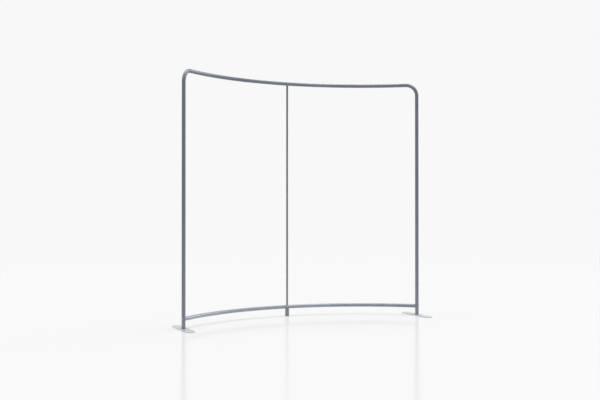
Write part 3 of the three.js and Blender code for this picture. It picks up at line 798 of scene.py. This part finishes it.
def make_corner(name, side):
    rail_button = CORNER_END - BUTTON_OFFSET
    stations = [
        *spread(CORNER_SEAM_Z + SEAM_GAP / 2, BEND_BOTTOM, CURVE_STEP),
        *spread(BEND_BOTTOM, BEND_BOTTOM + BEND_LENGTH, CORNER_STEP)[1:],
        *spread(BEND_BOTTOM + BEND_LENGTH, CORNER_END, CURVE_STEP)[1:],
    ]
    stations = with_fine(stations, CORNER_SEAM_Z + BUTTON_OFFSET, rail_button)
    piece = swept(f"{name}_corner_tube_smooth", stations, corner_path(side), TUBE, BORE)
    cut(piece, [
        button_hole(MAIN_SNAP, upright_seat(side, CORNER_SEAM_Z)),
        button_hole(MAIN_SNAP, rail_seat(side, TOP_RAIL_Z)),
    ])
    settle(piece, "tube", "frame", [f"{name}_corner_tube"])


def make_bottom_end(name, side):
    path = rail_path(BOTTOM_RAIL_Z)
    stub_button = ARC_HALF - STUB_BUTTON_AT
    rail_button = RAIL_SEAM + BUTTON_OFFSET
    stations = spread(ARC_HALF, RAIL_SEAM + SEAM_GAP / 2, CURVE_STEP)
    stations = [side * q for q in with_fine(stations, stub_button, rail_button)]
    piece = swept(f"bottom_{name}_tube_smooth", stations, path, TUBE, BORE)
    cut(piece, [
        cutter(SEAT, upright_axis(side), 0, 2 * BOTTOM_RAIL_Z, ROUND),
        button_hole(MAIN_SNAP, stub_seat(side)),
        button_hole(MAIN_SNAP, rail_seat(side, BOTTOM_RAIL_Z)),
    ])
    settle(piece, "tube", "frame", [f"bottom_{name}_tube"], finish=BOTTOM_LIT_FINISHES[name])


def make_middle_tubes():
    end = RAIL_SEAM - SEAM_GAP / 2
    for rail, height, finish, holes in (
        ("top", TOP_RAIL_Z, TOP_MIDDLE_LIT_FINISH, ((NOSE + FIT, -2 * TUBE, 0),)),
        (
            "bottom", BOTTOM_RAIL_Z, BOTTOM_LIT_FINISHES["middle"],
            ((NOSE + FIT, 0, 2 * TUBE), (SMALL_SCREW + FIT, -2 * TUBE, 0)),
        ),
    ):
        stations = with_fine(spread(-end, end, CURVE_STEP), 0.0)
        piece = swept(f"{rail}_middle_tube_smooth", stations, rail_path(height), TUBE, BORE)
        place = Matrix.Translation(Vector((0, POLE_Y, height)))
        cut(piece, [cutter(radius, place, low, high) for radius, low, high in holes])
        settle(piece, "tube", "frame", [f"{rail}_middle_tube"], finish=finish)


def make_sleeves(name, side):
    for seam_name, seam in (("upright", UPRIGHT_SEAM_Z), ("corner", CORNER_SEAM_Z)):
        stations = spread(seam - SLEEVE_HALF, seam + SLEEVE_HALF, CURVE_STEP)
        stations = with_fine(stations, seam + BUTTON_OFFSET)
        piece = swept(f"{name}_{seam_name}_sleeve_smooth", stations, upright_path(side), SLEEVE, SLEEVE_BORE)
        cut(piece, [button_hole(MAIN_SNAP, upright_seat(side, seam))])
        settle(piece, "sleeve", "frame", [f"{name}_{seam_name}_sleeve"])
    for rail, height in (("top", TOP_RAIL_Z), ("bottom", BOTTOM_RAIL_Z)):
        stations = spread(RAIL_SEAM - SLEEVE_HALF, RAIL_SEAM + SLEEVE_HALF, CURVE_STEP)
        stations = [side * q for q in with_fine(stations, RAIL_SEAM + BUTTON_OFFSET)]
        piece = swept(f"{rail}_{name}_sleeve_smooth", stations, rail_path(height), SLEEVE, SLEEVE_BORE)
        cut(piece, [button_hole(MAIN_SNAP, rail_seat(side, height))])
        settle(piece, "sleeve", "frame", [f"{rail}_{name}_sleeve"])


def make_rivet(name, place):
    """A blind rivet with a domed head and a pit, sunk to meet the round of its tube."""
    foot = math.sqrt(TUBE**2 - RIVET**2)
    top_z = TUBE + RIVET_PROUD
    pit_z = TUBE + RIVET_PIT_LEFT * RIVET_PROUD
    profile = [
        (0, foot, 0),
        (RIVET, foot, 0),
        (RIVET, TUBE + RIVET_LIP, 0),
        *((across * RIVET, TUBE + up * RIVET_PROUD, 0) for across, up in RIVET_DOME),
        (RIVET_PIT + RIVET_LIP, top_z, 0),
        (RIVET_PIT, top_z - RIVET_PIT_BREAK, 0),
        (RIVET_PIT, pit_z, 0),
        (0, pit_z, 0),
    ]
    piece = turned(name, profile, place)
    settle(piece, "screw", "frame", sharp=BLUNT)


def make_rivets(name, side):
    """Two rivets on the back, below or beside each sleeve's seam."""
    for k, distance in enumerate(RIVETS_AT):
        for seam_name, seam in (("upright", UPRIGHT_SEAM_Z), ("corner", CORNER_SEAM_Z)):
            place = seat(Vector((side * UPRIGHT_X, UPRIGHT_Y, seam - distance)), -UP, BACK)
            make_rivet(f"{name}_{seam_name}_rivet_{k + 1}", place)
        for rail, height in (("top", TOP_RAIL_Z), ("bottom", BOTTOM_RAIL_Z)):
            along = side * (RAIL_SEAM - distance)
            place = seat(wall_point(along, height), wall_side(along), wall_out(along))
            make_rivet(f"{rail}_{name}_rivet_{k + 1}", place)


def make_rail_stub(name, side):
    place = inward_place(side)
    hollow = SEAT + STUB_WEB
    profile = [
        (0, 0, 0), (SLEEVE, 0, 0), (SLEEVE, STUB_REACH - EDGE, 0), (SLEEVE - EDGE, STUB_REACH, 1),
        (SLEEVE_BORE + EDGE, STUB_REACH, 1), (SLEEVE_BORE, STUB_REACH - EDGE, 0), (SLEEVE_BORE, hollow, 0),
        (0, hollow, 0),
    ]
    piece = turned(f"{name}_rail_stub_smooth", profile, place, ROUND)
    cut(piece, [
        cutter(SEAT, upright_axis(side), 0, 2 * BOTTOM_RAIL_Z, ROUND),
        cutter(SMALL_SCREW + FIT, place, 0, hollow + MM),
        button_hole(MAIN_SNAP, stub_seat(side)),
    ])
    settle(piece, "sleeve", "frame", [f"{name}_rail_stub"])


# ---------------------------------------------------------------- pole, leg and feet


def make_pole():
    low, high = "pole_lower_tube", "pole_upper_tube"
    shoulder = POLE_SEAM_Z - POLE_SHOULDER
    foot, tip = bottom(low), top(low)
    outside = [(POLE - EDGE, foot, 1), (POLE, foot + EDGE, 0)]
    outside += [(POLE, z, 0) for z in spread(foot, shoulder, POLE_STEP)[1:]]
    outside += [(NECK, POLE_SEAM_Z, 0), (NECK, tip - EDGE, 0), (NECK - EDGE, tip, 1)]
    inside = [(NECK_BORE + EDGE, tip, 1), (NECK_BORE, tip - EDGE, 0)]
    inside += [(NECK_BORE, POLE_SEAM_Z, 0), (POLE_BORE, shoulder, 0)]
    inside += [(POLE_BORE, z, 0) for z in reversed(spread(foot, shoulder, POLE_STEP)[1:-1])]
    inside += [(POLE_BORE, foot + EDGE, 0), (POLE_BORE + EDGE, foot, 1)]
    profile = outside + inside

    def ring(radius, z):
        return circle(Vector((0, POLE_Y, z)), BACK, Vector((1, 0, 0)), radius, ROUND)

    rings = [ring(radius, z) for radius, z, _ in profile]
    uvs = [(z, radius) for radius, z, _ in profile]
    piece = ring_grid(low + "_smooth", rings, uvs, [edge for _, _, edge in profile])
    cut(piece, [button_hole(POLE_SNAP, POLE_NECK_SEAT)])
    settle(piece, "tube", "frame", [low], finish=POLE_FINISH)

    stations = with_fine(
        spread(bottom(high), top(high), STRAIGHT_STEP),
        POLE_SEAM_Z + POLE_BUTTON_OFFSET, TOP_RAIL_Z - POLE_STUB_BUTTON_AT,
    )
    piece = swept(high + "_smooth", stations, pole_path, POLE, POLE_BORE)
    cut(piece, [button_hole(POLE_SNAP, POLE_NECK_SEAT), button_hole(POLE_SNAP, POLE_TOP_SEAT)])
    settle(piece, "tube", "frame", [high], finish=POLE_FINISH)


def rail_cradle(height):
    across = Matrix.Rotation(math.pi / 2, 4, "Y")
    return cutter(SEAT, Matrix.Translation(Vector((0, POLE_Y, height))) @ across, -2 * LEG, 2 * LEG, ROUND)


def make_leg():
    node = "centre_leg_tube"
    stations = spread(bottom(node), top(node), LEG_STEP)
    piece = swept(node + "_smooth", stations, pole_path, LEG, LEG - LEG_WALL)
    cut(piece, [rail_cradle(BOTTOM_RAIL_Z)])
    settle(piece, "tube", "frame", [node], finish=POLE_FINISH)

    low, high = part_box("leg_foot_cap")
    insert = LEG - LEG_WALL - FIT
    profile = [
        (0, low.z, 0), (LEG - CAP_ROUND, low.z, 0), (LEG - EDGE, low.z + EDGE, 0),
        (LEG, low.z + CAP_ROUND, 0), (LEG, CAP_THICK - EDGE, 0), (LEG - EDGE, CAP_THICK, 0),
        (insert, CAP_THICK, 0), (insert, high.z - CAP_LEAD, 0), (insert - CAP_LEAD, high.z, 0),
        (insert - CAP_WALL, high.z, 0), (insert - CAP_WALL, CAP_THICK, 0), (0, CAP_THICK, 0),
    ]
    piece = turned("leg_foot_cap_smooth", profile, Matrix.Translation(Vector((0, POLE_Y, 0))), ROUND)
    settle(piece, "foot", "frame", ["leg_foot_cap"])


def stadium(half, radius, sides):
    """A long outline with round ends, along Y."""
    points = []
    for centre, start in ((half, 0.0), (-half, math.pi)):
        for k in range(sides + 1):
            angle = start + math.pi * k / sides
            points.append((radius * math.cos(angle), centre + radius * math.sin(angle)))
    return points


def make_base_plate(name, side):
    """A laser-cut plate with round ends and softened edges, countersunk below."""
    node = f"{name}_base_plate"
    low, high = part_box(node)
    size = high - low
    half = (size.y - size.x) / 2
    soft = PLATE_SOFT
    mid = soft * (1 - math.sqrt(0.5))
    # The last value of each layer darkens the coat: wear at the rims, and painted shade over the sides.
    layers = [(soft, low.z, 0.3), (mid, low.z + mid, 0.8), (0, low.z + soft, 1)]
    layers += [(0, high.z - soft, 1), (mid, high.z - mid, 1), (soft, high.z, 0.9)]
    layers += [(soft + PLATE_DARK_BAND, high.z, 0)]
    rings = [
        [(x, y, z) for x, y in stadium(half, size.x / 2 - inset, ROUND // 2)] for inset, z, _ in layers
    ]
    piece = lofted(node + "_smooth", rings, [edge for _, _, edge in layers], upright_axis(side))
    cone = size.z - FIT - HEAD_EDGE - SINK_WEB
    hole = BASE_SCREW + FIT
    sink = [
        (0, -MM, 0), (hole + cone, -MM, 0), (hole + cone, FIT + HEAD_EDGE, 0),
        (hole, FIT + HEAD_EDGE + cone, 0), (hole, size.z + MM, 0), (0, size.z + MM, 0),
    ]
    cut(piece, [turned("cutter", sink, upright_axis(side), ROUND)])
    settle(piece, "plate", node, [node], sharp=BLUNT)


def hexagon(half_flats, place, low, high):
    return cutter(half_flats / math.cos(math.pi / 6), place, low, high, 6)


def make_screws(name, side):
    """The countersunk screw under a plate, and the button-head screw through an upright into its stub."""
    node = f"{name}_base_screw"
    low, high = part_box(node)
    head = (high.x - low.x) / 2
    cone = head - BASE_SCREW
    profile = [
        (0, low.z, 0), (head - HEAD_BREAK, low.z, 0), (head, low.z + HEAD_BREAK, 0),
        (head, low.z + HEAD_EDGE, 0), (BASE_SCREW, low.z + HEAD_EDGE + cone, 0),
        (BASE_SCREW, high.z - LEAD, 0), (BASE_SCREW - LEAD, high.z, 0), (0, high.z, 0),
    ]
    piece = turned(node + "_smooth", profile, upright_axis(side))
    cut(piece, [hexagon(SOCKET, upright_axis(side), -MM, low.z + SOCKET)])
    settle(piece, "screw", "frame", [node], sharp=FINE)

    node = f"{name}_rail_screw"
    place = inward_place(side) @ Matrix.Translation(Vector((0, 0, -SEAT)))
    make_small_screw(node, place, 2 * SEAT + RAIL_SCREW_BITE)


def make_small_screw(node, place, length):
    """A domed head with a hexagon socket, on a plain shank."""
    head, thick = SMALL_HEAD, SMALL_HEAD_THICK
    dome = []
    for i in range(DOME_STEPS + 1):
        angle = math.pi / 2 * i / DOME_STEPS
        radius = SMALL_HEAD_FLAT + (head - SMALL_HEAD_FLAT) * math.sin(angle)
        dome.append((radius, -SMALL_HEAD_RIM - (thick - SMALL_HEAD_RIM) * math.cos(angle), 0))
    profile = [(0, -thick, 0), *dome, (head, 0, 0)]
    profile += [(SMALL_SCREW, 0, 0), (SMALL_SCREW, length, 0), (0, length, 0)]
    piece = turned(node + "_smooth", profile, place)
    cut(piece, [hexagon(SMALL_SOCKET, place, -thick - MM, SMALL_SOCKET_DEPTH - thick)])
    settle(piece, "screw", "frame", [node], sharp=KEEN)


def make_upright_plug(name, side):
    node = f"{name}_upright_plug"
    low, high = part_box(node)
    rim = bottom(f"{name}_upright_lower_tube") - FIT
    bore = BASE_SCREW + FIT
    profile = [
        (bore, low.z, 0), (TUBE - EDGE, low.z, 0), (TUBE, low.z + EDGE, 0), (TUBE, rim - EDGE, 0),
        (TUBE - EDGE, rim, 0), (SLEEVE, rim, 0), (SLEEVE, high.z - LEAD, 0), (SLEEVE - LEAD, high.z, 0),
        (bore, high.z, 0),
    ]
    piece = turned(node + "_smooth", profile, upright_axis(side), ROUND)
    settle(piece, "plastic", "frame", [node])


# ---------------------------------------------------------------- the object


def dress(node):
    """A solid that stays as it is, apart from its finish."""
    piece = frame["nodes"][node]
    slots = {part["node"]: part["material_slot"] for part in frame["record"]["subparts"]}
    piece.data.materials.clear()
    piece.data.materials.append(FINISHES[slots[node]])


for name, side in (("left", -1), ("right", 1)):
    make_uprights(name, side)
    make_corner(name, side)
    make_bottom_end(name, side)
    make_sleeves(name, side)
    make_rivets(name, side)
    make_rail_stub(name, side)
    make_base_plate(name, side)
    make_screws(name, side)
    make_upright_plug(name, side)
    make_snap(f"{name}_upright", MAIN_SNAP, upright_seat(side, UPRIGHT_SEAM_Z))
    make_snap(f"{name}_corner", MAIN_SNAP, upright_seat(side, CORNER_SEAM_Z))
    make_snap(f"top_{name}", MAIN_SNAP, rail_seat(side, TOP_RAIL_Z))
    make_snap(f"bottom_{name}", MAIN_SNAP, rail_seat(side, BOTTOM_RAIL_Z))
    make_snap(f"{name}_rail_end", MAIN_SNAP, stub_seat(side))

make_middle_tubes()
make_pole()
make_leg()
make_snap("pole_middle", POLE_SNAP, POLE_NECK_SEAT)
make_snap("pole_top", POLE_SNAP, POLE_TOP_SEAT)
make_small_screw(
    "leg_bolt",
    Matrix.Translation(Vector((0, POLE_Y, BOTTOM_RAIL_Z - TUBE - LEG_BOLT_SEAT - FIT))),
    span("leg_bolt").z - SMALL_HEAD_THICK,
)
for kept in ("pole_top_stub", "pole_bottom_stub", "leg_plug"):
    dress(kept)

# ---------------------------------------------------------------- studio

PAPER = 0.939  # the pale ground, as it shows
SKY = (0.98, 0.99, 1.0, 1)
LEFT_LIGHT, RIGHT_LIGHT = 0.27, 0.62  # the light that falls on the object from each side
NEAR_BOUNCE, FAR_BOUNCE = 1.8, 0.20  # the light off the floor, close to the object and far from it
BOUNCE_NEAR, BOUNCE_FAR = 0.3, 3.2
SUNS = (  # azimuth turned from the back towards the right, elevation, strength and softness
    ("overhead", 90, 80, 2.3, 50),
    ("key", 80, 24, 1.0, 34),
    ("fill", -80, 45, 0.6, 40),
)
FLOOR_SHADE = 0.42  # how much of the floor's tone a shadow can take away
OPEN = 0.975  # how much of the light reaches the floor near the object
FLOOR_LEVEL = OPEN * (
    (LEFT_LIGHT + RIGHT_LIGHT) / 2
    + sum(strength * math.sin(math.radians(rise)) / math.pi for _, _, rise, strength, _ in SUNS)
)
FLOOR_GLOSS, FLOOR_ROUGH = 0.18, 0.13
SHADE_NEAR, SHADE_FAR = 6.0, 14.0
FLOOR_RADIUS, FLOOR_SIDES = 200.0, 128
SUN_DISTANCE = 5.0


def ground_rays(n):
    """1 for the rays that meet a plain pale ground: the camera's, and those in reflections and glass."""
    path = n.add("LightPath")
    seen = n.math("MAXIMUM", path.outputs["Is Camera Ray"], path.outputs["Is Transmission Ray"])
    return n.math("MAXIMUM", seen, path.outputs["Is Glossy Ray"])


def make_world():
    world = bpy.data.worlds.new("studio")
    bpy.context.scene.world = world
    n = Nodes(world)
    direction = n.add("SeparateXYZ")
    n.link(n.add("TexCoord").outputs["Generated"], direction.inputs[0])
    light = n.add("Background")
    light.inputs["Color"].default_value = SKY
    n.link(n.remap(direction.outputs["X"], -1, 1, LEFT_LIGHT, RIGHT_LIGHT), light.inputs["Strength"])
    paper = n.add("Background")
    paper.inputs["Color"].default_value = (PAPER, PAPER, PAPER, 1)
    mix = n.add("MixShader")
    n.link(ground_rays(n), mix.inputs[0])
    n.link(light.outputs[0], mix.inputs[1])
    n.link(paper.outputs[0], mix.inputs[2])
    n.link(mix.outputs[0], n.add("OutputWorld").inputs["Surface"])


def floor_finish():
    """A pale glossy floor with a soft shadow and faint reflection, and the backdrop's tone elsewhere."""
    n = Nodes(bpy.data.materials.new("floor"))
    length = n.add("VectorMath", operation="LENGTH")
    n.link(n.add("TexCoord").outputs["Object"], length.inputs[0])
    distance = length.outputs["Value"]

    def emission(strength):
        node = n.add("Emission")
        node.inputs["Color"].default_value = (1, 1, 1, 1)
        if isinstance(strength, float):
            node.inputs["Strength"].default_value = strength
        else:
            n.link(strength, node.inputs["Strength"])
        return node.outputs[0]

    def mix(factor, first, second):
        node = n.add("MixShader")
        if isinstance(factor, float):
            node.inputs[0].default_value = factor
        else:
            n.link(factor, node.inputs[0])
        n.link(first, node.inputs[1])
        n.link(second, node.inputs[2])
        return node.outputs[0]

    shade = n.add("BsdfDiffuse")
    shade.inputs["Color"].default_value = (FLOOR_SHADE, FLOOR_SHADE, FLOOR_SHADE, 1)
    tone = n.add("AddShader")
    n.link(shade.outputs[0], tone.inputs[0])
    n.link(emission(PAPER - FLOOR_SHADE * FLOOR_LEVEL), tone.inputs[1])
    gloss = n.add("BsdfGlossy")
    gloss.inputs["Color"].default_value = (1, 1, 1, 1)
    gloss.inputs["Roughness"].default_value = FLOOR_ROUGH
    floor = mix(FLOOR_GLOSS, tone.outputs[0], gloss.outputs[0])
    shown = mix(n.remap(distance, SHADE_NEAR, SHADE_FAR, 0, 1), floor, emission(PAPER))
    bounce = emission(n.remap(distance, BOUNCE_NEAR, BOUNCE_FAR, NEAR_BOUNCE, FAR_BOUNCE))
    n.link(mix(ground_rays(n), bounce, shown), n.add("OutputMaterial").inputs["Surface"])
    return n.owner


def make_floor():
    bm = bmesh.new()
    bmesh.ops.create_circle(bm, cap_ends=True, radius=FLOOR_RADIUS, segments=FLOOR_SIDES)
    mesh = bpy.data.meshes.new("floor")
    bm.to_mesh(mesh)
    bm.free()
    mesh.materials.append(floor_finish())
    new_object("floor", mesh)


def make_sun(name, azimuth, elevation, strength, softness):
    """A soft light from far off."""
    data = bpy.data.lights.new(name, "SUN")
    data.energy = strength
    data.angle = math.radians(softness)
    lamp = bpy.data.objects.new(name, data)
    turn, rise = math.radians(azimuth), math.radians(elevation)
    toward = Vector((math.sin(turn) * math.cos(rise), math.cos(turn) * math.cos(rise), math.sin(rise)))
    lamp.rotation_euler = (-toward).to_track_quat("-Z", "Y").to_euler()
    lamp.location = toward * SUN_DISTANCE
    bpy.context.scene.collection.objects.link(lamp)


make_world()
make_floor()
for sun in SUNS:
    make_sun(*sun)

scene = bpy.context.scene
scene.view_settings.view_transform = "Standard"
